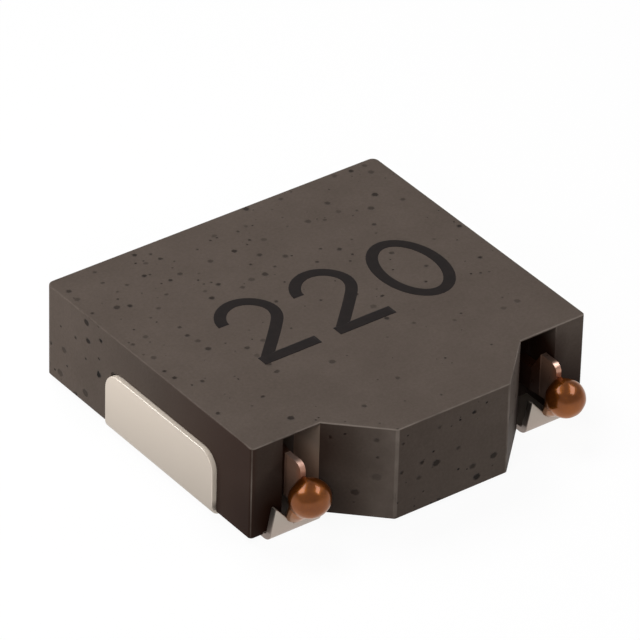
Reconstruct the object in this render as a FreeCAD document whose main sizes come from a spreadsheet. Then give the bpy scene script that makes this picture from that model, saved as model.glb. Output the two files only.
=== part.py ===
import FreeCAD, Part
import os

import Sketcher

from FreeCAD import Placement, Rotation, Vector

os.makedirs("parts", exist_ok=True)

# A low, shielded surface-mount power inductor.  Iron powder is pressed round a
# coil of flat wire to make one block with a tapered nose in the middle of its
# front.  Beside the nose are two recesses, where the coil's ends come out and
# are welded to the two folded terminals on which the part stands.
#
# Frame: the board is Z = 0, +X runs to the right-hand terminal, the nose
# points to -Y, and the origin is the middle of the outline.  Millimetres.

doc = FreeCAD.newDocument("shielded_smd_inductor")
sizes = doc.addObject("Spreadsheet::Sheet", "Sizes")

# Driving dimensions

DIMENSIONS = {
    # pressed block
    "body_length": 5.30,
    "body_depth": 4.52,
    "body_height": 1.38,
    "nose_reach": 0.69,
    "nose_base_width": 3.19,
    "nose_front_width": 1.78,
    "back_corner_radius": 0.10,
    "front_corner_radius": 0.05,
    "nose_edge_radius": 0.05,
    "top_edge_radius": 0.02,
    "recess_depth": 0.52,
    "recess_margin": 0.055,
    "lip_thickness": 0.03,
    "ceiling_thickness": 0.25,
    # folded terminals
    "terminal_thickness": 0.10,
    "terminal_width": 2.35,
    "seat_depth": 0.03,
    "seat_gap": 0.01,
    "bend_radius": 0.15,
    "plate_height": 0.93,
    "plate_corner_radius": 0.27,
    "pad_length": 1.27,
    "arm_width": 0.80,
    "tab_standoff": 0.15,
    "tab_height": 0.49,
    "tab_tip_width": 0.66,
    "notch_width": 0.60,
    "notch_floor_width": 0.08,
    "notch_floor_height": 0.18,
    # coil of flat wire, and its ends, pressed thinner
    "wire_thickness": 0.15,
    "wire_width": 0.35,
    "turn_gap": 0.01,
    "turns_per_layer": 5,
    "lead_offset": 2.04,
    "coil_setback": 0.20,
    "coil_gap": 0.02,
    "lead_gap": 0.01,
    "blade_thickness": 0.08,
    "blade_height": 0.64,
    "blade_reach": 0.26,
    "blade_setback": 0.065,
    "blade_corner_radius": 0.12,
    "pressing_length": 0.15,
    # weld beads
    "bead_diameter": 0.53,
    "bead_offset": 0.42,
    "bead_drop": 0.10,
    "weld_stagger": 0.05,
    "root_top_radius": 0.16,
    "root_end_radius": 0.07,
}

for row, (name, value) in enumerate(DIMENSIONS.items(), start=1):
    sizes.set(f"A{row}", name)
    sizes.set(f"B{row}", str(value))
    sizes.setAlias(f"B{row}", name)
doc.recompute()

# Places that several pieces share, worked out from the dimensions

HALF_LENGTH = "Sizes.body_length / 2"
BACK = "(Sizes.body_depth + Sizes.nose_reach) / 2"
FRONT = "(Sizes.nose_reach - Sizes.body_depth) / 2"
STANDOFF = "(Sizes.terminal_thickness - Sizes.seat_depth)"
TOP = f"({STANDOFF} + Sizes.body_height)"
COIL_LEVEL = f"({STANDOFF} + Sizes.body_height / 2)"
TAB_FRONT = f"({FRONT} - Sizes.tab_standoff)"
TURN_PITCH = "(Sizes.wire_thickness + Sizes.turn_gap)"
LAYER_PITCH = "(Sizes.wire_width + Sizes.turn_gap)"
INNER_TURN = f"(Sizes.lead_offset - (Sizes.turns_per_layer + 0.5) * {TURN_PITCH})"
BLADE_START = f"({FRONT} + Sizes.blade_setback)"
LEAD_END = f"({BLADE_START} + Sizes.pressing_length)"
RECESS_SIDE = "(Sizes.lead_offset + Sizes.wire_thickness / 2 + Sizes.recess_margin)"

# Cutting shapes start this far outside the face that they open
OUTSIDE = "Sizes.terminal_thickness"

# Points of the model nearer than this, in mm, are one place
SAME = 1e-6

# The left lead leaves the upper layer and the right lead the lower one, and
# their welds sit a little higher and lower to match
LEFT = -1
RIGHT = 1
WIRE_LEVEL = {
    LEFT: f"({COIL_LEVEL} + {LAYER_PITCH} / 2)",
    RIGHT: f"({COIL_LEVEL} - {LAYER_PITCH} / 2)",
}
BLADE_LEVEL = {
    LEFT: f"({COIL_LEVEL} + Sizes.weld_stagger)",
    RIGHT: f"({COIL_LEVEL} - Sizes.weld_stagger)",
}

X_AXIS = Vector(1, 0, 0)
Y_AXIS = Vector(0, 1, 0)
Z_AXIS = Vector(0, 0, 1)


def value_of(expression):
    """The present value of an expression over the size sheet, in mm."""
    return float(sizes.evalExpression(expression))


def bind(feature, **expressions):
    """Tie each named property of a feature to an expression over the sheet."""
    for prop, expression in expressions.items():
        feature.setExpression(prop, expression)


def place(feature, x, y, z, axis=Z_AXIS, angle=0):
    """Put a primitive at three expressions, turned about one axis."""
    feature.Placement = Placement(Vector(), Rotation(axis, angle))
    for letter, expression in zip("xyz", (x, y, z)):
        feature.setExpression(f"Placement.Base.{letter}", expression)


def sketch_on(body, name, role, offset):
    """A sketch on one of the body's origin planes, moved along its normal."""
    sketch = body.newObject("Sketcher::SketchObject", name)
    plane = [item for item in body.Origin.OriginFeatures if item.Role == role][0]
    sketch.AttachmentSupport = [(plane, "")]
    sketch.MapMode = "FlatFace"
    sketch.setExpression("AttachmentOffset.Base.z", offset)
    return sketch


def draw_outline(sketch, corners):
    """Add a closed outline whose corners are pairs of expressions."""
    first = sketch.GeometryCount
    points = [Vector(value_of(across), value_of(up), 0) for across, up in corners]
    for number, start in enumerate(points):
        end = points[(number + 1) % len(points)]
        sketch.addGeometry(Part.LineSegment(start, end), False)
    for number, (across, up) in enumerate(corners):
        line = first + number
        following = first + (number + 1) % len(corners)
        sketch.addConstraint(Sketcher.Constraint("Coincident", line, 2, following, 1))
        fix_point(sketch, "DistanceX", line, 1, across)
        fix_point(sketch, "DistanceY", line, 1, up)


def fix_point(sketch, kind, edge, point, expression):
    """Dimension one point of an edge from the sketch's origin."""
    dimension = Sketcher.Constraint(kind, -1, 1, edge, point, value_of(expression))
    index = sketch.addConstraint(dimension)
    sketch.setExpression(f"Constraints[{index}]", expression)


def draw_rectangle(sketch, across, up, width, height):
    """Add a rectangle about a centre, all expressions."""
    left = f"{across} - {width} / 2"
    right = f"{across} + {width} / 2"
    bottom = f"{up} - {height} / 2"
    top = f"{up} + {height} / 2"
    draw_outline(sketch, [(left, bottom), (right, bottom), (right, top), (left, top)])


def draw_spiral(sketch, side):
    """Add the closed outline of one layer of wire, wound inwards from a side.

    Each edge of the wire is half circles on alternate centres, so that every one
    meets the next in line.  The innermost moves in by a whole pitch, to leave
    room beside it for the half turn that joins the layers.
    """
    half_turns = range(2 * int(value_of("Sizes.turns_per_layer")))
    offsets = [f"(Sizes.lead_offset - {number} * {TURN_PITCH} / 2)" for number in half_turns]
    offsets.append(INNER_TURN)

    # Where each edge of the wire ends in front, and then crosses the line
    # through the coil's centre once in each half turn
    edges = []
    for sign in ("+", "-"):
        half = f"{sign} Sizes.wire_thickness / 2"
        edge = [(f"{side} * ({offsets[0]} {half})", LEAD_END)]
        for number, offset in enumerate(offsets):
            across = side if number % 2 == 0 else -side
            edge.append((f"{across} * ({offset} {half})", "Sizes.coil_setback"))
        edges.append(edge)

    # In along the outer edge and back along the inner one: straight along the
    # lead and across the wire's ends, and round in the half turns, which lie
    # at the back and at the front by turns
    outer, inner = edges
    corners = outer + inner[::-1]
    rounds = [1 if number % 2 == 0 else -1 for number in half_turns]
    rounds = [0, *rounds, 0, *rounds[::-1], 0, 0]
    points = [Vector(value_of(across), value_of(up), 0) for across, up in corners]
    starts = []
    for number, toward_back in enumerate(rounds):
        start = points[number]
        end = points[(number + 1) % len(points)]
        if toward_back == 0:
            sketch.addGeometry(Part.LineSegment(start, end), False)
            starts.append(1)
        else:
            peak = (start + end + Vector(0, toward_back * (end - start).Length, 0)) / 2
            sketch.addGeometry(Part.Arc(start, peak, end), False)
            # A sketch's arc runs anticlockwise, so it may start at its far end
            starts.append(1 if (start.x - end.x) * toward_back > 0 else 2)

    for number, (across, up) in enumerate(corners):
        following = (number + 1) % len(corners)
        start = starts[number]
        end = 3 - start
        sketch.addConstraint(
            Sketcher.Constraint("Coincident", number, end, following, starts[following]))
        fix_point(sketch, "DistanceX", number, start, across)
        fix_point(sketch, "DistanceY", number, start, up)
        if rounds[number] != 0:
            fix_point(sketch, "DistanceY", number, 3, "Sizes.coil_setback")


def pad(body, name, sketch, length, symmetric=False):
    """Grow a solid from a sketch."""
    feature = body.newObject("PartDesign::Pad", name)
    feature.Profile = sketch
    feature.SideType = "Symmetric" if symmetric else "One side"
    bind(feature, Length=length)
    doc.recompute()
    return feature


def pocket(body, name, sketch, length, toward_normal=False):
    """Cut a sketch into the body and make sure that it took material away."""
    before = body.Shape.Volume
    feature = body.newObject("PartDesign::Pocket", name)
    feature.Profile = sketch
    feature.Reversed = toward_normal
    bind(feature, Length=length)
    doc.recompute()
    if feature.Shape.Volume >= before:
        raise ValueError(f"{name} cuts nothing")
    return feature


def runs_along(edge, direction, fixed):
    """True for a straight edge along a direction whose other ordinates are as given."""
    start = edge.Vertexes[0].Point
    end = edge.Vertexes[-1].Point
    if edge.Curve.TypeId != "Part::GeomLine" or (end - start).cross(direction).Length > SAME:
        return False
    return all(abs(getattr(start, letter) - value) < SAME for letter, value in fixed.items())


def fillet(body, name, base, radius, direction, places):
    """Round the edges that run along a direction through the given places."""
    edges = []
    for number, edge in enumerate(base.Shape.Edges, start=1):
        if any(runs_along(edge, direction, fixed) for fixed in places):
            edges.append(f"Edge{number}")
    if len(edges) != len(places):
        raise ValueError(f"{name} found {len(edges)} edges for {len(places)} places")
    return round_edges(body, name, base, radius, edges)


def round_edges(body, name, base, radius, edges):
    """Round the named edges of a feature."""
    feature = body.newObject("PartDesign::Fillet", name)
    feature.Base = (base, edges)
    bind(feature, Radius=radius)
    doc.recompute()
    return feature


def build_core_block():
    """The pressed block before the coil and the terminals take their room."""
    body = doc.addObject("PartDesign::Body", "core_block")
    outline = sketch_on(body, "core_outline", "XY_Plane", STANDOFF)
    draw_outline(outline, [
        (f"-{HALF_LENGTH}", BACK),
        (f"-{HALF_LENGTH}", FRONT),
        ("-Sizes.nose_base_width / 2", FRONT),
        ("-Sizes.nose_front_width / 2", f"-{BACK}"),
        ("Sizes.nose_front_width / 2", f"-{BACK}"),
        ("Sizes.nose_base_width / 2", FRONT),
        (HALF_LENGTH, FRONT),
        (HALF_LENGTH, BACK),
    ])
    pressing = pad(body, "core_pressing", outline, "Sizes.body_height")

    # The die's upright corners
    half_length = value_of(HALF_LENGTH)
    back = value_of(BACK)
    front = value_of(FRONT)
    nose = value_of("Sizes.nose_front_width / 2")
    corners = [{"x": side * half_length, "y": back} for side in (LEFT, RIGHT)]
    rounded = fillet(body, "back_corners", pressing, "Sizes.back_corner_radius", Z_AXIS, corners)
    corners = [{"x": side * half_length, "y": front} for side in (LEFT, RIGHT)]
    rounded = fillet(body, "front_corners", rounded, "Sizes.front_corner_radius", Z_AXIS, corners)
    edges = [{"x": side * nose, "y": -back} for side in (LEFT, RIGHT)]
    rounded = fillet(body, "nose_edges", rounded, "Sizes.nose_edge_radius", Z_AXIS, edges)

    # The broken edge all round the top face
    top = value_of(TOP)
    rim = []
    for number, edge in enumerate(rounded.Shape.Edges, start=1):
        if all(abs(vertex.Z - top) < SAME for vertex in edge.Vertexes):
            rim.append(f"Edge{number}")
    round_edges(body, "top_edge", rounded, "Sizes.top_edge_radius", rim)

    # A recess from the nose's foot to the lead's outer side, open to the front
    # and below, whose ceiling thins to a lip at the top edge, and its twin
    profile = sketch_on(body, "recess_profile", "YZ_Plane", "Sizes.nose_base_width / 2")
    draw_outline(profile, [
        (f"{FRONT} - {OUTSIDE}", f"{STANDOFF} - {OUTSIDE}"),
        (f"{FRONT} + Sizes.recess_depth", f"{STANDOFF} - {OUTSIDE}"),
        (f"{FRONT} + Sizes.recess_depth", f"{TOP} - Sizes.ceiling_thickness"),
        (FRONT, f"{TOP} - Sizes.lip_thickness"),
        (f"{FRONT} - {OUTSIDE}", f"{TOP} - Sizes.lip_thickness"),
    ])
    width = f"{RECESS_SIDE} - Sizes.nose_base_width / 2"
    recess = pocket(body, "recess_right", profile, width, toward_normal=True)
    twin = body.newObject("PartDesign::Mirrored", "recess_left")
    twin.Originals = [recess]
    middle = [item for item in body.Origin.OriginFeatures if item.Role == "YZ_Plane"][0]
    twin.MirrorPlane = (middle, [""])
    body.Tip = twin
    doc.recompute()
    return body


def build_terminal(name, margin):
    """The right-hand terminal: one strip folded from side plate to pad, with an
    arm that runs forward and turns up as a tab.  A margin makes its seat."""
    body = doc.addObject("PartDesign::Body", name)
    outer = f"({HALF_LENGTH} + {STANDOFF})"
    gauge = "Sizes.terminal_thickness"
    plate_top = f"(Sizes.plate_height + {margin})"
    pad_end = f"({outer} - Sizes.pad_length - {margin})"
    tab_top = f"(Sizes.tab_height + {margin})"

    # Side plate and pad, one L-shaped strip
    fold = sketch_on(body, f"{name}_fold", "XZ_Plane", "0")
    draw_outline(fold, [
        (outer, plate_top),
        (f"{outer} - {gauge}", plate_top),
        (f"{outer} - {gauge}", gauge),
        (pad_end, gauge),
        (pad_end, "0"),
        (outer, "0"),
    ])
    width = f"(Sizes.terminal_width + 2 * {margin})"
    strip = pad(body, f"{name}_strip", fold, width, symmetric=True)
    outside = [{"x": value_of(outer), "z": 0}]
    inside = [{"x": value_of(f"{outer} - {gauge}"), "z": value_of(gauge)}]
    shoulders = [{"y": end * value_of(f"{width} / 2"), "z": value_of(plate_top)} for end in (-1, 1)]
    strip = fillet(body, f"{name}_fold_outside", strip, "Sizes.bend_radius", Y_AXIS, outside)
    strip = fillet(body, f"{name}_fold_inside", strip, f"Sizes.bend_radius - {gauge}", Y_AXIS, inside)
    fillet(body, f"{name}_shoulders", strip, "Sizes.plate_corner_radius", X_AXIS, shoulders)

    # The arm under the recess and the tab that stands up in front of it
    turn = sketch_on(body, f"{name}_turn", "YZ_Plane", "Sizes.lead_offset")
    draw_outline(turn, [
        ("0", "0"),
        (TAB_FRONT, "0"),
        (TAB_FRONT, tab_top),
        (f"{TAB_FRONT} + {gauge}", tab_top),
        (f"{TAB_FRONT} + {gauge}", gauge),
        ("0", gauge),
    ])
    arm = pad(body, f"{name}_arm", turn, f"Sizes.arm_width + 2 * {margin}", symmetric=True)
    outside = [{"y": value_of(TAB_FRONT), "z": 0}]
    inside = [{"y": value_of(f"{TAB_FRONT} + {gauge}"), "z": value_of(gauge)}]
    arm = fillet(body, f"{name}_turn_outside", arm, "Sizes.bend_radius", X_AXIS, outside)
    fillet(body, f"{name}_turn_inside", arm, f"Sizes.bend_radius - {gauge}", X_AXIS, inside)
    return body


def cut_horns(body):
    """Notch the tab for the coil's end, and slope the two horns' outer sides."""
    horns = sketch_on(body, "horns", "XZ_Plane", f"{OUTSIDE} - {TAB_FRONT}")
    middle = "Sizes.lead_offset"
    tab_top = "Sizes.tab_height"
    above = f"{tab_top} + {OUTSIDE}"
    draw_outline(horns, [
        (f"{middle} - Sizes.notch_width / 2", above),
        (f"{middle} - Sizes.notch_width / 2", tab_top),
        (f"{middle} - Sizes.notch_floor_width / 2", "Sizes.notch_floor_height"),
        (f"{middle} + Sizes.notch_floor_width / 2", "Sizes.notch_floor_height"),
        (f"{middle} + Sizes.notch_width / 2", tab_top),
        (f"{middle} + Sizes.notch_width / 2", above),
    ])
    for sign in ("-", "+"):
        beyond = f"{middle} {sign} (Sizes.arm_width / 2 + {OUTSIDE})"
        draw_outline(horns, [
            (f"{middle} {sign} Sizes.arm_width / 2", "Sizes.bend_radius"),
            (f"{middle} {sign} Sizes.tab_tip_width / 2", tab_top),
            (f"{middle} {sign} Sizes.tab_tip_width / 2", above),
            (beyond, above),
            (beyond, "Sizes.bend_radius"),
        ])
    pocket(body, "notch", horns, f"{OUTSIDE} + Sizes.terminal_thickness")


def mirror_to_left(source, name):
    """The left-hand twin of a right-hand piece."""
    twin = doc.addObject("Part::Mirroring", name)
    twin.Source = source
    twin.Normal = X_AXIS
    return twin


def build_coil():
    """Two flat spirals of one wire, joined inside and led out to both recesses."""
    coil = doc.addObject("Part::MultiFuse", "coil_winding")
    coil.Shapes = [build_layer(LEFT), build_layer(RIGHT), build_crossover()]
    return coil


def build_layer(side):
    """One layer and its lead, whose end is pressed to a thin, tall blade."""
    body = doc.addObject("PartDesign::Body", "layer")
    spiral = sketch_on(body, "spiral", "XY_Plane", WIRE_LEVEL[side])
    draw_spiral(spiral, side)
    pad(body, "spiral_turns", spiral, "Sizes.wire_width", symmetric=True)

    lead = f"{side} * Sizes.lead_offset"
    wire = sketch_on(body, "wire_section", "XZ_Plane", f"-{LEAD_END}")
    draw_rectangle(wire, lead, WIRE_LEVEL[side], "Sizes.wire_thickness", "Sizes.wire_width")
    flat = sketch_on(body, "blade_section", "XZ_Plane", f"-{BLADE_START}")
    draw_rectangle(flat, lead, BLADE_LEVEL[side], "Sizes.blade_thickness", "Sizes.blade_height")
    doc.recompute()
    pressing = body.newObject("PartDesign::AdditiveLoft", "pressing")
    pressing.Profile = wire
    pressing.Sections = [flat]
    doc.recompute()

    blade = pad(body, "blade", flat, "Sizes.blade_setback + Sizes.blade_reach")
    tip = value_of(f"{FRONT} - Sizes.blade_reach")
    heights = [value_of(f"{BLADE_LEVEL[side]} {sign} Sizes.blade_height / 2") for sign in ("-", "+")]
    corners = [{"y": tip, "z": height} for height in heights]
    fillet(body, "blade_corners", blade, "Sizes.blade_corner_radius", X_AXIS, corners)
    return body


def build_crossover():
    """The half turn that climbs from the lower layer's inside to the upper one's."""
    body = doc.addObject("PartDesign::Body", "crossover")
    place(body, "0", "Sizes.coil_setback", "0")
    section = sketch_on(body, "crossover_section", "XZ_Plane", "0")
    draw_rectangle(section, INNER_TURN, WIRE_LEVEL[RIGHT], "Sizes.wire_thickness", "Sizes.wire_width")
    doc.recompute()
    climb = body.newObject("PartDesign::AdditiveHelix", "climb")
    climb.Profile = section
    climb.ReferenceAxis = (section, ["V_Axis"])
    climb.Mode = "height-turns-angle"
    climb.Turns = 0.5
    bind(climb, Height=LAYER_PITCH)
    return body


def build_core_body(block, seats):
    """The finished block: less the terminals' seats, the coil's room and the
    two channels through which the leads come out into the recesses."""
    rim = doc.addObject("Part::Cylinder", "coil_room_rim")
    post = doc.addObject("Part::Cylinder", "coil_room_post")
    room_height = f"({LAYER_PITCH} + Sizes.wire_width + 2 * Sizes.coil_gap)"
    for cylinder in (rim, post):
        place(cylinder, "0", "Sizes.coil_setback", f"{COIL_LEVEL} - {room_height} / 2")
        bind(cylinder, Height=room_height)
    bind(rim, Radius="Sizes.lead_offset + Sizes.wire_thickness / 2 + Sizes.coil_gap")
    bind(post, Radius=f"{INNER_TURN} - Sizes.wire_thickness / 2 - Sizes.coil_gap")
    room = doc.addObject("Part::Cut", "coil_room")
    room.Base = rim
    room.Tool = post

    cuts = [*seats, room]
    channel_width = "(Sizes.wire_thickness + 2 * Sizes.lead_gap)"
    channel_height = "(Sizes.wire_width + 2 * Sizes.lead_gap)"
    for side in (LEFT, RIGHT):
        channel = doc.addObject("Part::Box", "lead_channel")
        across = f"{side} * Sizes.lead_offset - {channel_width} / 2"
        place(channel, across, BLADE_START, f"{WIRE_LEVEL[side]} - {channel_height} / 2")
        bind(channel, Length=channel_width, Height=channel_height)
        bind(channel, Width=f"Sizes.coil_setback - {BLADE_START}")
        cuts.append(channel)
    voids = doc.addObject("Part::MultiFuse", "core_voids")
    voids.Shapes = cuts
    core = doc.addObject("Part::Cut", "core_body")
    core.Base = block
    core.Tool = voids
    return core


def build_bead(name, side, coil, terminal):
    """Wire end and notch melted into one drop, with a root down to the notch."""
    across = f"{side} * Sizes.lead_offset"
    ahead = f"({FRONT} - Sizes.bead_offset)"
    level = f"({BLADE_LEVEL[side]} - Sizes.bead_drop)"
    drop = doc.addObject("Part::Sphere", f"{name}_drop")
    place(drop, across, ahead, level)
    bind(drop, Radius="Sizes.bead_diameter / 2")

    back = f"({TAB_FRONT} + Sizes.terminal_thickness / 2 - {ahead})"
    down = f"({level} - Sizes.notch_floor_height)"
    root = doc.addObject("Part::Cone", f"{name}_root")
    place(root, across, ahead, level, X_AXIS, angle=-1)
    bind(root, Radius1="Sizes.root_top_radius", Radius2="Sizes.root_end_radius")
    bind(root, Height=f"sqrt({back} ^ 2 + {down} ^ 2)")
    root.setExpression("Placement.Rotation.Angle", f"-(90 deg + atan({down} / {back}))")

    melt = doc.addObject("Part::MultiFuse", f"{name}_melt")
    melt.Shapes = [drop, root]
    solid_metal = doc.addObject("Part::MultiFuse", f"{name}_solid_metal")
    solid_metal.Shapes = [coil, terminal]
    bead = doc.addObject("Part::Cut", name)
    bead.Base = melt
    bead.Tool = solid_metal
    return bead


block = build_core_block()
terminal_right = build_terminal("terminal_right", "0")
cut_horns(terminal_right)
terminal_left = mirror_to_left(terminal_right, "terminal_left")
seat_right = build_terminal("seat_right", "Sizes.seat_gap")
seat_left = mirror_to_left(seat_right, "seat_left")
coil_winding = build_coil()
core_body = build_core_body(block, [seat_right, seat_left])
weld_bead_left = build_bead("weld_bead_left", LEFT, coil_winding, terminal_left)
weld_bead_right = build_bead("weld_bead_right", RIGHT, coil_winding, terminal_right)
doc.recompute()

SUB_PARTS = [core_body, coil_winding, terminal_left, terminal_right, weld_bead_left, weld_bead_right]

for item in doc.Objects:
    if "Invalid" in item.State or "Error" in item.State:
        raise ValueError(f"{item.Label} failed: {item.State}")
for item in SUB_PARTS:
    if item.Shape.isNull() or not item.Shape.isValid() or len(item.Shape.Solids) != 1:
        raise ValueError(f"{item.Label} is not one valid solid")

for item in SUB_PARTS:
    item.Label = item.Name
    item.Shape.exportStep(f"parts/{item.Label}.step")
    box = item.Shape.BoundBox
    print(f"{item.Label}: {box.XLength:.3f} x {box.YLength:.3f} x {box.ZLength:.3f} mm")
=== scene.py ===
import math

import bmesh
import bpy
from mathutils import Matrix, Vector, noise


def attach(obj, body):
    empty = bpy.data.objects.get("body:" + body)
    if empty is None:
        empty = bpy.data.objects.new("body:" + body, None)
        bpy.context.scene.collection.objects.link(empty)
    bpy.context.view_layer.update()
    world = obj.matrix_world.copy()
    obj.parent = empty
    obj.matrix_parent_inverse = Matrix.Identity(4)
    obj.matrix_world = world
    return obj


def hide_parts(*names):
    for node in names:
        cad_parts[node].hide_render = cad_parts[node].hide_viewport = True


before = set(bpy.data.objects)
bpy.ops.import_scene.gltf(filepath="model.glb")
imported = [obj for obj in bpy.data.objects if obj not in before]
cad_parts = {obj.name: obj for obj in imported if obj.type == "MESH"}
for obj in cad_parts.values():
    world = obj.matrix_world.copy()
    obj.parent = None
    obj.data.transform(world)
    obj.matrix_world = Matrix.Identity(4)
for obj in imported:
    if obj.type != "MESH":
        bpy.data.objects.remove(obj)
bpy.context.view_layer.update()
scene = bpy.context.scene
scene.view_settings.view_transform = "Standard"

# The view. The camera stands well back on a long lens, to the left of the
# part's front and above it.
VIEW_RIGHT = Vector((0.80347532, -0.59490138, 0.02279805))
VIEW_UP = Vector((0.32011505, 0.46400143, 0.82597157))
VIEW_BACK = Vector((-0.50194995, -0.65634977, 0.56325058))
VIEW_POINT = Vector((-0.04107409, -0.05347756, 0.04726410))
VIEW_LENS = 357.094
VIEW_SENSOR = 36.0
VIEW_NEAREST = 0.001
VIEW_FARTHEST = 10.0

camera_data = bpy.data.cameras.new("camera")
camera_data.lens = VIEW_LENS
camera_data.sensor_width = VIEW_SENSOR
camera_data.clip_start = VIEW_NEAREST
camera_data.clip_end = VIEW_FARTHEST
camera = bpy.data.objects.new("camera", camera_data)
turn = Matrix((VIEW_RIGHT, VIEW_UP, VIEW_BACK)).transposed()
camera.matrix_world = Matrix.LocRotScale(VIEW_POINT, turn, None)
scene.collection.objects.link(camera)
scene.camera = camera

# The room. To the eye it is white all round. Metal sees it white at the height
# of the table and dimmer overhead, and it lights the part a little from all
# sides.
WHITE = (1.0, 1.0, 1.0, 1.0)
ROOM_TONE = (1.0, 0.97, 0.93, 1.0)
ROOM_LIGHT = 0.06
DIMMER_FROM = 0.02
DIMMEST_AT = 0.30
CEILING_LIGHT = 0.42


def feed(tree, socket, value):
    """Give a socket a link or a plain value."""
    if isinstance(value, bpy.types.NodeSocket):
        tree.links.new(value, socket)
    else:
        socket.default_value = value


def join(tree, operation, *inputs):
    """The result of a math node, fed with links or numbers."""
    node = tree.nodes.new("ShaderNodeMath")
    node.operation = operation
    for number, value in enumerate(inputs):
        feed(tree, node.inputs[number], value)
    return node.outputs[0]


def ramp(tree, value, start, end, low=0.0, high=1.0):
    """A number that goes from low to high as a value goes from start to end."""
    node = tree.nodes.new("ShaderNodeMapRange")
    names = ("Value", "From Min", "From Max", "To Min", "To Max")
    for name, setting in zip(names, (value, start, end, low, high)):
        feed(tree, node.inputs[name], setting)
    return node.outputs[0]


def give_light(tree, kind, colour, strength):
    """A shader that gives off one colour: a Background or an Emission."""
    node = tree.nodes.new(kind)
    feed(tree, node.inputs["Color"], colour)
    feed(tree, node.inputs["Strength"], strength)
    return node.outputs[0]


def change_shader(tree, mask, under, over):
    """One shader where a mask is 0, and another where it is 1."""
    node = tree.nodes.new("ShaderNodeMixShader")
    for number, value in enumerate((mask, under, over)):
        feed(tree, node.inputs[number], value)
    return node.outputs[0]


world = bpy.data.worlds.new("room")
scene.world = world
world.use_nodes = True
tree = world.node_tree
tree.nodes.clear()
path = tree.nodes.new("ShaderNodeLightPath")
toward = tree.nodes.new("ShaderNodeTexCoord")
heading = tree.nodes.new("ShaderNodeSeparateXYZ")
feed(tree, heading.inputs[0], toward.outputs["Generated"])
dimmed = ramp(tree, heading.outputs["Z"], DIMMER_FROM, DIMMEST_AT, 1.0, CEILING_LIGHT)
mirrored = join(tree, "MAXIMUM", path.outputs["Is Glossy Ray"],
                path.outputs["Is Transmission Ray"])
lit = give_light(tree, "ShaderNodeBackground", ROOM_TONE, ROOM_LIGHT)
reflected = give_light(tree, "ShaderNodeBackground", WHITE, dimmed)
white = give_light(tree, "ShaderNodeBackground", WHITE, 1.0)
in_metal = change_shader(tree, mirrored, lit, reflected)
to_eye = change_shader(tree, path.outputs["Is Camera Ray"], in_metal, white)
world_out = tree.nodes.new("ShaderNodeOutputWorld")
feed(tree, world_out.inputs["Surface"], to_eye)

# The table. A board that the eye and metal see as white and that keeps a faint
# shadow of the part. It is clear from below, to show the part's underside.
BOARD_HALF = 0.5
BOARD_CLEAR = 0.000005
BOARD_WHITE = 0.935
BOARD_LIT = (0.30, 0.29, 0.28, 1.0)
BOARD_SEEN = (0.88, 0.92, 0.97, 1.0)


def blend(tree, mask, under, over, kind="RGBA", way="MIX"):
    """One colour, vector or number where a mask is 0, and another where it is 1."""
    node = tree.nodes.new("ShaderNodeMix")
    node.data_type = kind
    node.blend_type = way
    for name, value in (("Factor", mask), ("A", under), ("B", over)):
        feed(tree, node.inputs[name], value)
    return node.outputs["Result"]


board_shape = bmesh.new()
bmesh.ops.create_grid(board_shape, x_segments=1, y_segments=1, size=BOARD_HALF)
bmesh.ops.translate(board_shape, verts=board_shape.verts, vec=(0.0, 0.0, -BOARD_CLEAR))
board_mesh = bpy.data.meshes.new("floor")
board_shape.to_mesh(board_mesh)
board_shape.free()
board = bpy.data.objects.new("floor", board_mesh)
scene.collection.objects.link(board)

board_finish = bpy.data.materials.new("white_board")
board_finish.use_nodes = True
tree = board_finish.node_tree
tree.nodes.clear()
path = tree.nodes.new("ShaderNodeLightPath")
seen = join(tree, "MAXIMUM", path.outputs["Is Camera Ray"], path.outputs["Is Glossy Ray"])
paper = tree.nodes.new("ShaderNodeBsdfDiffuse")
feed(tree, paper.inputs["Color"], blend(tree, seen, BOARD_LIT, BOARD_SEEN))
glow = give_light(tree, "ShaderNodeEmission", WHITE, 1.0)
shown = change_shader(tree, join(tree, "MULTIPLY", seen, BOARD_WHITE), paper.outputs[0], glow)
side = tree.nodes.new("ShaderNodeNewGeometry")
from_below = join(tree, "MULTIPLY", side.outputs["Backfacing"], path.outputs["Is Camera Ray"])
clear = tree.nodes.new("ShaderNodeBsdfTransparent")
board_out = tree.nodes.new("ShaderNodeOutputMaterial")
feed(tree, board_out.inputs["Surface"], change_shader(tree, from_below, shown, clear.outputs[0]))
board_mesh.materials.append(board_finish)

# The lamps. Four soft ones light the powder: overhead, in front to the left, low
# beside the far end of the left face, and in front to the right. Two more only
# glint in the metal. Their places and sizes are in millimetres.
AIM = Vector((0.0, 0.0, 0.0007))
LAMP_DISTANCE = 40
POWDER_LIGHT = (1.0, 0.95, 0.90)
GLINT_LIGHT = (0.90, 0.98, 1.08)


def soft_box(name, place, width, height, watts, glint=False):
    """A rectangular lamp, turned towards the part."""
    data = bpy.data.lights.new(name, "AREA")
    data.shape = "RECTANGLE"
    data.size = width / 1000
    data.size_y = height / 1000
    data.energy = watts
    data.color = GLINT_LIGHT if glint else POWDER_LIGHT
    lamp = bpy.data.objects.new(name, data)
    spot = Vector(place) / 1000
    away = (spot - AIM).to_track_quat("Z", "Y").to_matrix().to_4x4()
    lamp.matrix_world = Matrix.Translation(spot) @ away
    lamp.visible_camera = False
    lamp.visible_diffuse = not glint
    lamp.visible_glossy = glint
    scene.collection.objects.link(lamp)


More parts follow.
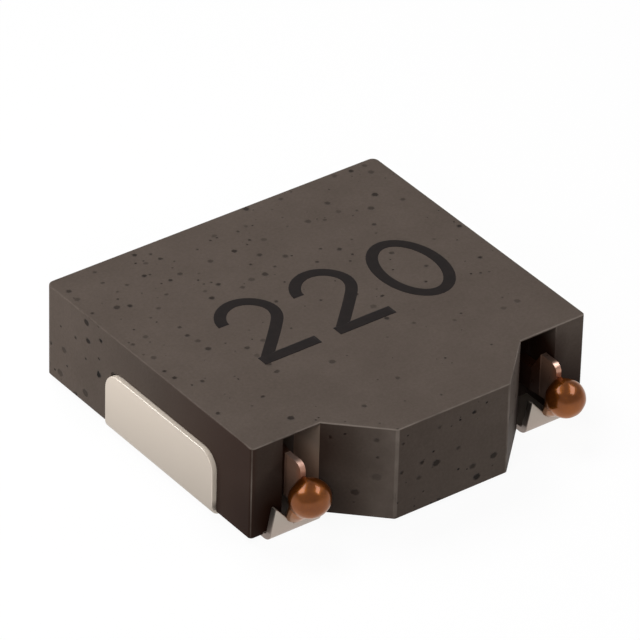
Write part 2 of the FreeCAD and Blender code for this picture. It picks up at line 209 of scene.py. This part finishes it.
soft_box("overhead", (-1, 14, 28), 16, 16, 0.0070)
soft_box("key_left", Vector((-0.64, -0.50, 0.58)) * LAMP_DISTANCE, 28, 28, 0.0108)
soft_box("low_left", (-8.0, 6.5, 1.5), 3.0, 2.4, 0.00036)
soft_box("front_right", (26, -20, 12), 12, 8, 0.0038)
soft_box("glint_left", Vector((-0.372, 0.450, 0.812)) * LAMP_DISTANCE, 30, 16, 0.0064,
         glint=True)
soft_box("glint_right", Vector((0.510, -0.300, 0.805)) * LAMP_DISTANCE, 30, 16, 0.0064,
         glint=True)

# The pressed block. Iron powder and resin pressed in a die round the coil: a
# dark, warm, matte grey with a fine grain, and pores where a grain fell out.
# The pores crowd towards the back and left and on the nose.
BLOCK_SIDE = 0.00265
BLOCK_FRONT = -0.001915
NOSE_SIDE = 0.001595
NOSE_CORNER = 0.00089
NOSE_FRONT = -0.002605
RECESS_BACK = -0.001395
RECESS_SIDE = 0.00217
BORDER = 0.000002

POWDER = (0.087, 0.0715, 0.0625, 1.0)
POWDER_DARK = (0.072, 0.0585, 0.0505, 1.0)
POWDER_GRAIN = 26000.0
POWDER_CLOUD = 1700.0
PORE_SHADE = (0.0045, 0.0035, 0.003, 1.0)
PORE_ON_TOP = 0.74
PORE_ON_SIDES = 0.97
PORE_RAGGED = 30000.0
WALL_PAINTED_LIGHT = (0.175, 0.137, 0.112, 1.0)
LOW_WALL_PAINTED_LIGHT = (0.33, 0.21, 0.155, 1.0)
LEFT_FACE_SHADE = (0.060, 0.030, 0.022, 1.0)
PAINTED_SHADE_TONE = (0.015, 0.0065, 0.0040, 1.0)
PAINTED_SHADE_CORE = 0.0003
EDGE_HIGHLIGHT = (0.175, 0.152, 0.137, 1.0)

# Where the painted shade lies: its middle, how far it reaches and how dark it is
PAINTED_SHADE_SPOTS = [
    ((-0.00225, -0.00205, 0.00025), 0.0018, 1.0),
    ((-0.00265, -0.00190, 0.00110), 0.0032, 0.66),
    ((-0.00178, -0.00182, 0.00105), 0.00112, 1.0),
    ((0.00230, -0.00200, 0.00015), 0.0012, 0.95),
    ((0.00190, -0.00165, 0.00090), 0.0007, 1.1),
]


def times(tree, mask, *others):
    """The product of several masks."""
    for other in others:
        mask = join(tree, "MULTIPLY", mask, other)
    return mask


def most(tree, mask, *others):
    """The largest of several masks."""
    for other in others:
        mask = join(tree, "MAXIMUM", mask, other)
    return mask


# A flat map of every face of the block: across and along on level faces, and
# round and up on upright ones, with masks for the level faces, for the rounded
# edges round them and for the block's two front corners
LEVEL_FROM = 0.6
SLOPE_GAIN = 2.4
CORNER_TURN = 0.465
CORNER_FROM = 0.0025
ROUND_STRETCH = 0.80
ROUND_SHIFT = 0.0137

unfold = bpy.data.node_groups.new("unfolded_face", "ShaderNodeTree")
unfold.interface.new_socket("Flat", in_out="OUTPUT", socket_type="NodeSocketVector")
for name in ("Level", "Slope", "Corner"):
    unfold.interface.new_socket(name, in_out="OUTPUT", socket_type="NodeSocketFloat")
given = unfold.nodes.new("ShaderNodeTexCoord")
result = unfold.nodes.new("NodeGroupOutput")
where = unfold.nodes.new("ShaderNodeSeparateXYZ")
feed(unfold, where.inputs[0], given.outputs["Object"])
facing = unfold.nodes.new("ShaderNodeSeparateXYZ")
feed(unfold, facing.inputs[0], given.outputs["Normal"])
steep = join(unfold, "ABSOLUTE", facing.outputs["Z"])
level = join(unfold, "GREATER_THAN", steep, LEVEL_FROM)
first = join(unfold, "MULTIPLY", facing.outputs["X"], where.outputs["Y"])
second = join(unfold, "MULTIPLY", facing.outputs["Y"], where.outputs["X"])
around = join(unfold, "SUBTRACT", first, second)
around = join(unfold, "MULTIPLY_ADD", around, ROUND_STRETCH, ROUND_SHIFT)
upright_map = unfold.nodes.new("ShaderNodeCombineXYZ")
feed(unfold, upright_map.inputs["X"], around)
feed(unfold, upright_map.inputs["Y"], where.outputs["Z"])
level_map = unfold.nodes.new("ShaderNodeCombineXYZ")
feed(unfold, level_map.inputs["X"], where.outputs["X"])
feed(unfold, level_map.inputs["Y"], where.outputs["Y"])
chosen_map = blend(unfold, level, upright_map.outputs[0], level_map.outputs[0], kind="VECTOR")
slope = times(unfold, steep, join(unfold, "SUBTRACT", 1.0, steep), SLOPE_GAIN)
sideways = join(unfold, "ABSOLUTE", facing.outputs["X"])
forward = join(unfold, "MULTIPLY", facing.outputs["Y"], -1.0)
turned = join(unfold, "GREATER_THAN", times(unfold, sideways, forward), CORNER_TURN)
outward = join(unfold, "ABSOLUTE", where.outputs["X"])
corner = times(unfold, turned, join(unfold, "GREATER_THAN", outward, CORNER_FROM))
for name, value in (("Flat", chosen_map), ("Level", level), ("Slope", slope), ("Corner", corner)):
    feed(unfold, result.inputs[name], value)

# Round pores scattered over a flat map: above 0 inside a pore. Some are larger
# than others, and some are half filled with dust.
pores = bpy.data.node_groups.new("pores", "ShaderNodeTree")
pores.interface.new_socket("Flat", in_out="INPUT", socket_type="NodeSocketVector")
for name in ("Scale", "Size", "Share"):
    pores.interface.new_socket(name, in_out="INPUT", socket_type="NodeSocketFloat")
pores.interface.new_socket("Mask", in_out="OUTPUT", socket_type="NodeSocketFloat")
given = pores.nodes.new("NodeGroupInput")
result = pores.nodes.new("NodeGroupOutput")
ragged = pores.nodes.new("ShaderNodeTexNoise")
ragged.noise_dimensions = "2D"
feed(pores, ragged.inputs["Scale"], PORE_RAGGED)
feed(pores, ragged.inputs["Vector"], given.outputs["Flat"])
cells = pores.nodes.new("ShaderNodeTexVoronoi")
cells.voronoi_dimensions = "2D"
feed(pores, cells.inputs["Vector"], given.outputs["Flat"])
feed(pores, cells.inputs["Scale"], given.outputs["Scale"])
lot = pores.nodes.new("ShaderNodeSeparateColor")
feed(pores, lot.inputs[0], cells.outputs["Color"])
present = join(pores, "LESS_THAN", lot.outputs[0], given.outputs["Share"])
grown = times(pores, join(pores, "MULTIPLY_ADD", lot.outputs[1], 1.3, 0.6), given.outputs["Size"])
torn = join(pores, "MULTIPLY_ADD", ragged.outputs["Fac"], 0.10, -0.05)
inside = join(pores, "SUBTRACT", join(pores, "ADD", grown, torn), cells.outputs["Distance"])
filled = join(pores, "MINIMUM", join(pores, "MULTIPLY_ADD", lot.outputs[2], 0.7, 0.4), 1.0)
feed(pores, result.inputs["Mask"], times(pores, ramp(pores, inside, -0.03, 0.06), present, filled))


def new_finish(name):
    """A material, its node tree and surface, and each point's place, whole and in X, Y, Z."""
    material = bpy.data.materials.new(name)
    material.use_nodes = True
    tree = material.node_tree
    place = tree.nodes.new("ShaderNodeTexCoord")
    spread = tree.nodes.new("ShaderNodeSeparateXYZ")
    feed(tree, spread.inputs[0], place.outputs["Object"])
    return material, tree, tree.nodes["Principled BSDF"], place, *spread.outputs


def uneven(tree, place, scale, detail, roughness=0.5):
    """Cloudy light and dark through a piece, finer at a larger scale."""
    node = tree.nodes.new("ShaderNodeTexNoise")
    feed(tree, node.inputs["Scale"], scale)
    feed(tree, node.inputs["Detail"], detail)
    feed(tree, node.inputs["Roughness"], roughness)
    feed(tree, node.inputs["Vector"], place.outputs["Object"])
    return node.outputs["Fac"]


def relief(tree, height, strength, distance):
    """A shallow relief of a mask, at a strength and a height in metres."""
    node = tree.nodes.new("ShaderNodeBump")
    feed(tree, node.inputs["Strength"], strength)
    feed(tree, node.inputs["Distance"], distance)
    feed(tree, node.inputs["Height"], height)
    return node


def scatter_pores(tree, flat, scale, size, share):
    """Pores over the block's flat map, with a scale, a size and a share of their own."""
    node = tree.nodes.new("ShaderNodeGroup")
    node.node_tree = pores
    for name, value in (("Flat", flat), ("Scale", scale), ("Size", size), ("Share", share)):
        feed(tree, node.inputs[name], value)
    return node.outputs["Mask"]


powder, tree, surface, place, x, y, z = new_finish("pressed_powder")
face = tree.nodes.new("ShaderNodeGroup")
face.node_tree = unfold
level = face.outputs["Level"]
upright = join(tree, "SUBTRACT", 1.0, level)
outward = join(tree, "ABSOLUTE", x)

# How many pores there are at each place, and how large they are
on_top = times(tree, ramp(tree, y, -0.0006, 0.0020, 0.17, 0.50),
               ramp(tree, x, 0.0026, -0.0026, 0.75, 1.1))
on_back_of_sides = ramp(tree, y, 0.0007, 0.0013, 0.0, 0.40)
on_nose_sides = ramp(tree, y, BLOCK_FRONT - 0.00008, BLOCK_FRONT - 0.00022, 0.0, 0.32)
share = blend(tree, level, most(tree, on_back_of_sides, on_nose_sides), on_top, kind="FLOAT")
size_on_left = ramp(tree, x, 0.0001 - BLOCK_SIDE, 0.00003 - BLOCK_SIDE, 0.105, 0.125)
size_on_nose = times(tree, upright,
                     ramp(tree, y, BLOCK_FRONT, BLOCK_FRONT - 0.00002, 0.0, 0.122))
size = most(tree, size_on_left, size_on_nose)
large = scatter_pores(tree, face.outputs["Flat"], 4300.0, size, share)
fine = scatter_pores(tree, face.outputs["Flat"], 9000.0, 0.09, times(tree, share, 0.22))
holes = most(tree, large, fine)

# The powder's own uneven tone, and the pores painted near-black: painted shade in each hollow
grain = uneven(tree, place, POWDER_GRAIN, 4.0, 0.65)
cloud = uneven(tree, place, POWDER_CLOUD, 3.0)
colour = blend(tree, ramp(tree, cloud, 0.3, 0.7, 0.3, 1.0), POWDER_DARK, POWDER)
colour = blend(tree, 0.22, colour, grain, way="OVERLAY")
pore_shade = times(tree, holes, ramp(tree, level, 0, 1, PORE_ON_SIDES, PORE_ON_TOP))
colour = blend(tree, pore_shade, colour, PORE_SHADE)

# The recesses' walls beside the nose are painted paler, most of all low down:
# painted light where the lamps reach little
painted_wall_light = times(tree, ramp(tree, outward, NOSE_SIDE + 0.000015, NOSE_SIDE + 0.00001),
              ramp(tree, y, BLOCK_FRONT - BORDER, BLOCK_FRONT + BORDER), upright,
              ramp(tree, y, RECESS_BACK + 0.000015, RECESS_BACK - 0.000005))
wall_light_tone = blend(tree, ramp(tree, z, 0.0011, 0.0005), WALL_PAINTED_LIGHT, LOW_WALL_PAINTED_LIGHT)
colour = blend(tree, painted_wall_light, colour, wall_light_tone)

# The left face is painted darker brown towards its front: painted shade
left_face_shade = times(tree, ramp(tree, y, 0.0002, -0.0016, 0.0, 0.58),
             ramp(tree, x, 0.0001 - BLOCK_SIDE, 0.00003 - BLOCK_SIDE), upright)
colour = blend(tree, left_face_shade, colour, LEFT_FACE_SHADE)

# The powder is painted darker brown beside the two welds and in the right
# recess, and a little on the nose: painted shade
shade_spots = []
for weld, reach, strength in PAINTED_SHADE_SPOTS:
    apart = tree.nodes.new("ShaderNodeVectorMath")
    apart.operation = "DISTANCE"
    feed(tree, apart.inputs[0], place.outputs["Object"])
    feed(tree, apart.inputs[1], weld)
    shade_spots.append(ramp(tree, apart.outputs["Value"], reach, PAINTED_SHADE_CORE, 0.0, strength))
beside_nose = ramp(tree, outward, NOSE_SIDE + 0.000025, NOSE_SIDE + 0.000205)
on_nose = ramp(tree, y, BLOCK_FRONT + BORDER, BLOCK_FRONT - BORDER, 0.0, 0.82)
painted_shade = times(tree, most(tree, *shade_spots), most(tree, beside_nose, on_nose), upright)
colour = blend(tree, painted_shade, colour, PAINTED_SHADE_TONE)

# The die's edges are painted paler as painted highlights: the top's, the front
# corners' and the recesses' outer ones
top_edges = times(tree, face.outputs["Slope"], ramp(tree, y, -0.0017, -0.0019, 0.35, 2.4))
corners = times(tree, face.outputs["Corner"], 0.7)
by_recess = times(tree, ramp(tree, outward, RECESS_SIDE - 0.000004, RECESS_SIDE, 0.0, 0.5),
                  ramp(tree, outward, RECESS_SIDE + 0.000008, RECESS_SIDE + 0.000026, 1.0, 0.0),
                  ramp(tree, y, BLOCK_FRONT + 0.000015, BLOCK_FRONT + 0.000005),
                  ramp(tree, painted_shade, 0.0, 0.5, 1.0, 0.0))

# So are the nose's two front edges, and the slope beside the left one: painted light
from_edge = join(tree, "ABSOLUTE", join(tree, "SUBTRACT", outward, NOSE_CORNER))
nose_edges = times(tree, ramp(tree, from_edge, 0.000016, 0.000034, 1.0, 0.0), upright,
                   ramp(tree, y, NOSE_FRONT + 0.000105, NOSE_FRONT + 0.000085))
left_slope = times(tree, ramp(tree, x, -0.00130, -0.00090, 0.0, 0.50),
                   ramp(tree, x, -NOSE_CORNER, -NOSE_CORNER + 0.00002, 1.0, 0.0),
                   ramp(tree, y, -0.00200, -0.00205), upright)
edge_highlight = most(tree, top_edges, corners, by_recess, nose_edges, left_slope)
edge_highlight = times(tree, edge_highlight, ramp(tree, cloud, 0.35, 0.65, 0.3, 1.0))
feed(tree, surface.inputs["Base Color"], blend(tree, edge_highlight, colour, EDGE_HIGHLIGHT))
feed(tree, surface.inputs["Roughness"], 0.65)
feed(tree, surface.inputs["Specular IOR Level"], 0.07)
hollow = relief(tree, holes, 0.8, 0.000012)
hollow.invert = True
rough = relief(tree, grain, 0.25, 0.000004)
feed(tree, rough.inputs["Normal"], hollow.outputs["Normal"])
feed(tree, surface.inputs["Normal"], rough.outputs["Normal"])


def finish_node(name, material):
    """Give a carried-over solid its finish."""
    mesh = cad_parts[name].data
    mesh.materials.clear()
    mesh.materials.append(material)


finish_node("core_body", powder)

# The marking. A plain number printed on the top in thin dark ink, with its
# feet towards the nose. Sizes are in millimetres.
TOP_LEVEL = 1.45
MARK_CENTRE = (0.25, 0.21)
DIGIT_PITCH = 1.19
DIGIT_WIDTH = 0.84
DIGIT_HEIGHT = 1.26
STROKE = 0.178
STROKE_STEPS = 10
STROKE_ROUND = 3
FOOT_LAYER = STROKE / 5
INK_THICKNESS = 0.004
INK = (0.006, 0.005, 0.005, 1.0)
INK_WORN = (0.014, 0.010, 0.009, 1.0)

ink, tree, surface, place = new_finish("dark_ink")[:4]
tone = blend(tree, uneven(tree, place, 9000.0, 5.0), INK, INK_WORN)
feed(tree, surface.inputs["Base Color"], tone)
feed(tree, surface.inputs["Roughness"], 0.6)
feed(tree, surface.inputs["Specular IOR Level"], 0.12)

strokes = bpy.data.curves.new("marking", "CURVE")
strokes.dimensions = "3D"
strokes.resolution_u = STROKE_STEPS
strokes.bevel_depth = STROKE / 2
strokes.bevel_resolution = STROKE_ROUND
strokes.use_fill_caps = True


def draw_stroke(left, points, closed=False, layer=0.0):
    """One pen stroke of a digit: points with the handles to both sides of them."""
    line = strokes.splines.new("BEZIER")
    line.bezier_points.add(len(points) - 1)
    line.use_cyclic_u = closed
    for knot, (across, up, lean_x, lean_y) in zip(line.bezier_points, points):
        spot = Vector((left + across * DIGIT_WIDTH, (up - 0.5) * DIGIT_HEIGHT, layer))
        lean = Vector((lean_x * DIGIT_WIDTH, lean_y * DIGIT_HEIGHT, 0))
        knot.co = spot
        knot.handle_left = spot - lean
        knot.handle_right = spot + lean


# Each point is a place across and up the digit, and the lean of its handles
TWO = [
    (0.02, 0.72, 0.0, 0.13),
    (0.47, 1.0, 0.25, 0.0),
    (0.92, 0.72, 0.0, -0.13),
    (0.66, 0.42, -0.14, -0.10),
    (0.03, 0.0, -0.1, -0.07),
]
FOOT = [(-0.06, 0.0, 0.1, 0.0), (1.0, 0.0, 0.1, 0.0)]
NOUGHT = [
    (0.5, 1.0, 0.275, 0.0),
    (1.0, 0.5, 0.0, -0.275),
    (0.5, 0.0, -0.275, 0.0),
    (0.0, 0.5, 0.0, 0.275),
]
for number in (0, 1):
    left = MARK_CENTRE[0] + (number - 1) * DIGIT_PITCH - DIGIT_WIDTH / 2
    draw_stroke(left, TWO)
    draw_stroke(left, FOOT, layer=FOOT_LAYER)
draw_stroke(MARK_CENTRE[0] + DIGIT_PITCH - DIGIT_WIDTH / 2, NOUGHT, closed=True)
pen = bpy.data.objects.new("marking_strokes", strokes)
scene.collection.objects.link(pen)
bpy.context.view_layer.update()
drawn_pen = pen.evaluated_get(bpy.context.evaluated_depsgraph_get())
mark_mesh = bpy.data.meshes.new_from_object(drawn_pen)
bpy.data.objects.remove(pen)

# The round strokes are pressed flat and laid on the top
mark_shape = bmesh.new()
mark_shape.from_mesh(mark_mesh)
bmesh.ops.remove_doubles(mark_shape, verts=mark_shape.verts, dist=1e-6)
bmesh.ops.scale(mark_shape, verts=mark_shape.verts, vec=(1.0, 1.0, INK_THICKNESS / STROKE))
seat = (0.0, MARK_CENTRE[1], TOP_LEVEL - INK_THICKNESS / 8)
bmesh.ops.translate(mark_shape, verts=mark_shape.verts, vec=seat)
bmesh.ops.scale(mark_shape, verts=mark_shape.verts, vec=(0.001, 0.001, 0.001))
bmesh.ops.recalc_face_normals(mark_shape, faces=mark_shape.faces)
mark_shape.to_mesh(mark_mesh)
mark_shape.free()
mark_mesh.materials.clear()
mark_mesh.materials.append(ink)
marking = bpy.data.objects.new("marking", mark_mesh)
scene.collection.objects.link(marking)
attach(marking, "root")

# The two terminals. One copper strip each, dip-tinned, folded round the
# block's edge and up in front as a notched tab. The tin rounds off the strip's
# sheared edges.
EDGE_ROUND = 0.024
EDGE_ANGLE = math.radians(40)
EDGE_STEPS = 4
LOOSE_FACETS = math.radians(1)
PLATE_TO_TAB = (-0.00150, -0.00190)
TIN_DULL = (0.70, 0.615, 0.53, 1.0)
TIN_PALE = (0.785, 0.70, 0.605, 1.0)
TIN_FOOT_BROWN = (0.50, 0.40, 0.35, 1.0)
TIN_RIM_HIGHLIGHT = (0.84, 0.77, 0.68, 1.0)

tin, tree, surface, place, x, y, z = new_finish("dull_tin")
facing = tree.nodes.new("ShaderNodeSeparateXYZ")
feed(tree, facing.inputs[0], place.outputs["Normal"])
sideways = join(tree, "ABSOLUTE", facing.outputs["X"])
cloud = uneven(tree, place, 1500.0, 4.0)
tone = blend(tree, cloud, TIN_DULL, TIN_PALE)

# The tin is painted darker towards the front and the board, as painted shade,
# and the tabs' sheared sides are much darker
on_tab = ramp(tree, y, *PLATE_TO_TAB)
sheared = times(tree, ramp(tree, sideways, 0.4, 0.6), on_tab)
tin_shade_and_dark_sides = times(tree, ramp(tree, y, 0.0011, -0.0011, 1.0, 0.86),
               ramp(tree, z, 0.0009, 0.0001, 1.0, 0.76),
               ramp(tree, y, *PLATE_TO_TAB, 1.0, 0.84),
               ramp(tree, sheared, 0.0, 1.0, 1.0, 0.22))
shaded_tin = tree.nodes.new("ShaderNodeVectorMath")
shaded_tin.operation = "SCALE"
feed(tree, shaded_tin.inputs[0], tone)
feed(tree, shaded_tin.inputs["Scale"], tin_shade_and_dark_sides)

# The foot of each tab is browner, most of all near the board
low_on_tab = times(tree, on_tab, ramp(tree, z, 0.00042, 0.00012, 0.0, 0.5))
tin_with_foot = blend(tree, low_on_tab, shaded_tin.outputs[0], TIN_FOOT_BROWN)

# The side plates' rims are painted paler and less metallic: a painted highlight
rim = times(tree, ramp(tree, sideways, 0.6, 0.9, 1.0, 0.0),
            ramp(tree, y, -0.00150, -0.00130), ramp(tree, z, 0.00015, 0.00025))
feed(tree, surface.inputs["Base Color"], blend(tree, rim, tin_with_foot, TIN_RIM_HIGHLIGHT))
feed(tree, surface.inputs["Metallic"], ramp(tree, rim, 0.0, 1.0, 0.8, 0.35))
feed(tree, surface.inputs["Roughness"], ramp(tree, cloud, 0.3, 0.7, 0.42, 0.52))
feed(tree, surface.inputs["Normal"], relief(tree, cloud, 0.15, 0.000006).outputs["Normal"])

for name in ("terminal_left", "terminal_right"):
    strip = bmesh.new()
    strip.from_mesh(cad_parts[name].data)
    bmesh.ops.scale(strip, verts=strip.verts, vec=(1000, 1000, 1000))
    bmesh.ops.remove_doubles(strip, verts=strip.verts, dist=1e-4)
    bmesh.ops.dissolve_limit(strip, angle_limit=LOOSE_FACETS, verts=strip.verts,
                             edges=strip.edges)
    sharp = [edge for edge in strip.edges
             if edge.is_manifold and edge.calc_face_angle() > EDGE_ANGLE]
    rounded = bmesh.ops.bevel(strip, geom=sharp, offset=EDGE_ROUND, offset_type="OFFSET",
                              segments=EDGE_STEPS, profile=0.5, affect="EDGES", material=-1,
                              clamp_overlap=True)
    for facet in rounded["faces"]:
        facet.smooth = True
    bmesh.ops.scale(strip, verts=strip.verts, vec=(0.001, 0.001, 0.001))
    bmesh.ops.recalc_face_normals(strip, faces=strip.faces)
    strip_mesh = bpy.data.meshes.new("tinned_" + name)
    strip.to_mesh(strip_mesh)
    strip.free()
    strip_mesh.materials.append(tin)
    piece = bpy.data.objects.new("tinned_" + name, strip_mesh)
    scene.collection.objects.link(piece)
    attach(piece, "root")
    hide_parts(name)

# The coil. Flat copper wire under dark enamel, wound on edge inside the block.
# Its ends are stripped, and pressed thin and tall for the weld.
STRIPPED_FROM = -0.00185
STRIP_EDGE = 0.00001
ENAMEL = (0.030, 0.010, 0.004, 1.0)
BARE_COPPER = (0.72, 0.47, 0.37, 1.0)
BROAD_FACE_SHADE_COPPER = (0.130, 0.070, 0.046, 1.0)
DARK_EDGE_COPPER = (0.17, 0.11, 0.085, 1.0)
HEATED_COPPER = (0.30, 0.10, 0.04, 1.0)
SHADED_COPPER = (0.020, 0.011, 0.009, 1.0)

copper, tree, surface, place, x, y, z = new_finish("coil_copper")
facing = tree.nodes.new("ShaderNodeSeparateXYZ")
feed(tree, facing.inputs[0], place.outputs["Normal"])
bare = ramp(tree, y, STRIPPED_FROM + STRIP_EDGE, STRIPPED_FROM - STRIP_EDGE)
broad = ramp(tree, join(tree, "ABSOLUTE", facing.outputs["X"]), 0.5, 0.9, 0.0, 0.9)
tone = blend(tree, bare, ENAMEL, BARE_COPPER)

# A blade's broad faces are painted darker and less metallic, as painted shade from
# the dark recess they mirror; its upper edge is darker back from its tip, and the
# weld's heat tints its end. Low down on the broad faces the painted shade is darker.
tone = blend(tree, times(tree, broad, bare), tone, BROAD_FACE_SHADE_COPPER)
dark_edge = times(tree, ramp(tree, y, -0.00212, -0.00203, 0.0, 0.85), bare,
             ramp(tree, broad, 0.0, 0.9, 1.0, 0.0))
tone = blend(tree, dark_edge, tone, DARK_EDGE_COPPER)
tone = blend(tree, ramp(tree, y, -0.00206, -0.00217, 0.0, 0.55), tone, HEATED_COPPER)
low_on_face = times(tree, ramp(tree, broad, 0.0, 0.9),
                    ramp(tree, z, 0.00098, 0.00066, 0.0, 0.62))
tone = blend(tree, low_on_face, tone, SHADED_COPPER)
feed(tree, surface.inputs["Base Color"], tone)
metal = times(tree, ramp(tree, bare, 0.0, 1.0, 0.1, 0.85),
              ramp(tree, broad, 0.0, 0.9, 1.0, 0.45))
feed(tree, surface.inputs["Metallic"], metal)
brushed = ramp(tree, uneven(tree, place, 14000.0, 3.0), 0.3, 0.7, 0.30, 0.46)
duller_left = ramp(tree, x, -0.0018, 0.0018, 0.20, -0.04)
feed(tree, surface.inputs["Roughness"], join(tree, "ADD", brushed, duller_left))
finish_node("coil_winding", copper)

# The weld beads. The wire's end and the tab's notch melted into one drop each,
# drawn round by surface tension, with a root down to the notch and a skirt
# where it has climbed the wire. Sizes are in millimetres.
BEADS = {"left": (-2.04, 0.71, 1.07), "right": (2.04, 0.61, 1.0)}
BEAD_RADIUS = 0.265
BEAD_AHEAD = -2.335
ROOT_FOOT = (-2.020, 0.21)
ROOT_TOP_RADIUS = 0.20
ROOT_FOOT_RADIUS = 0.085
ROOT_CAP = 0.06
FLARE = 0.09
SETTLED_TOP = 0.95
SETTLED_FOOT = 0.97
TOE_SPREAD = 0.45
SKIRT_WIDTH = 0.13
SKIRT_FROM = Vector((0, 0.62, 0.78))
SKIRT_PULL = Vector((0, 0.35, 0.94)) * 0.04
UNEVENNESS = 0.005
PROFILE_STEPS = 56
ROUND_STEPS = 64
BEAD_DARK = (0.165, 0.044, 0.006, 1.0)
BEAD_PALE = (0.315, 0.094, 0.013, 1.0)
BEAD_TIN_AND_REFLECTION = (0.25, 0.135, 0.075, 1.0)
BEAD_SHEEN = (0.75, 0.55, 0.42, 1.0)

bead_copper, tree, surface, place, x, y, z = new_finish("weld_copper")
# The tone varies at random, and low down it is painted paler: a painted reflection of the board.
# Next to the tab it is tan, partly tin from the tab and partly a painted reflection of the tab.
flow = uneven(tree, place, 3600.0, 3.0)
pale_flow_and_low_light = join(tree, "ADD", ramp(tree, flow, 0.35, 0.65, 0.0, 0.45),
             ramp(tree, z, 0.00070, 0.00049, 0.0, 0.60))
at_tab = times(tree, ramp(tree, y, -0.00227, -0.00210), ramp(tree, z, 0.00070, 0.00045))
tone = blend(tree, at_tab, blend(tree, pale_flow_and_low_light, BEAD_DARK, BEAD_PALE), BEAD_TIN_AND_REFLECTION)
feed(tree, surface.inputs["Base Color"], tone)
feed(tree, surface.inputs["Metallic"], 0.84)
feed(tree, surface.inputs["Roughness"], 0.30)
feed(tree, surface.inputs["Specular Tint"], BEAD_SHEEN)
feed(tree, surface.inputs["Coat Weight"], 0.50)
feed(tree, surface.inputs["Coat Roughness"], 0.07)
feed(tree, surface.inputs["Normal"], relief(tree, flow, 0.12, 0.00001).outputs["Normal"])

for side, (across, up, widening) in BEADS.items():
    centre = Vector((across, BEAD_AHEAD, up))
    foot = Vector((across, *ROOT_FOOT))
    reach = (foot - centre).length

    # Half an outline of the drop, from its free side to the root's foot. Its
    # steps are closer at both ends, where it turns quickly.
    outline = []
    for step in range(PROFILE_STEPS + 1):
        share = (1 - math.cos(math.pi * step / PROFILE_STEPS)) / 2
        along = -BEAD_RADIUS + share * (BEAD_RADIUS + reach)
        drop = math.sqrt(max(BEAD_RADIUS ** 2 - along ** 2, 0.0))
        if along < 0:
            outline.append(Vector((drop, 0, along)))
            continue
        root = ROOT_TOP_RADIUS + (ROOT_FOOT_RADIUS - ROOT_TOP_RADIUS) * along / reach
        past = max(along - (reach - ROOT_CAP), 0.0) / ROOT_CAP
        root *= math.sqrt(max(1 - past ** 2, 0.0))
        mixing = max(FLARE - abs(drop - root), 0.0) / FLARE
        width = max(drop, root) + mixing ** 2 * FLARE / 4 * min(1.0, (reach - along) / ROOT_CAP)
        outline.append(Vector((width, 0, along)))

    melt = bmesh.new()
    rim = [melt.verts.new(point) for point in outline]
    for first, second in zip(rim, rim[1:]):
        melt.edges.new((first, second))
    bmesh.ops.spin(melt, geom=melt.verts[:] + melt.edges[:], cent=(0, 0, 0), axis=(0, 0, 1),
                   angle=math.tau, steps=ROUND_STEPS, use_merge=True)
    bmesh.ops.remove_doubles(melt, verts=melt.verts, dist=1e-5)
    lean = (foot - centre).to_track_quat("Z", "Y").to_matrix().to_4x4()
    bmesh.ops.transform(melt, matrix=lean, verts=melt.verts)

    # It has settled a little, spread into the notch at its toe, and been drawn
    # up the wire where that enters, and it is never quite even
    for vertex in melt.verts:
        spot = vertex.co
        spot.z *= SETTLED_TOP if spot.z > 0 else SETTLED_FOOT
        spot.x *= widening
        toe = min(1.0, max(0.0, (spot.y - 0.10) / 0.18)) * min(1.0, max(0.0, -spot.z / 0.20))
        spot.x *= 1 + TOE_SPREAD * toe
        near_wire = max(0.0, 1 - abs(spot.x) / SKIRT_WIDTH)
        climbing = near_wire ** 2 * max(0.0, spot.normalized().dot(SKIRT_FROM)) ** 6
        spot += SKIRT_PULL * climbing
        spot += spot.normalized() * UNEVENNESS * noise.noise(spot * 9 + centre)
    bmesh.ops.translate(melt, verts=melt.verts, vec=centre)
    bmesh.ops.scale(melt, verts=melt.verts, vec=(0.001, 0.001, 0.001))
    bmesh.ops.recalc_face_normals(melt, faces=melt.faces)
    for facet in melt.faces:
        facet.smooth = True
    drop_mesh = bpy.data.meshes.new("bead_" + side)
    melt.to_mesh(drop_mesh)
    melt.free()
    drop_mesh.materials.append(bead_copper)
    bead = bpy.data.objects.new("bead_" + side, drop_mesh)
    scene.collection.objects.link(bead)
    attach(bead, "root")
    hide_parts("weld_bead_" + side)
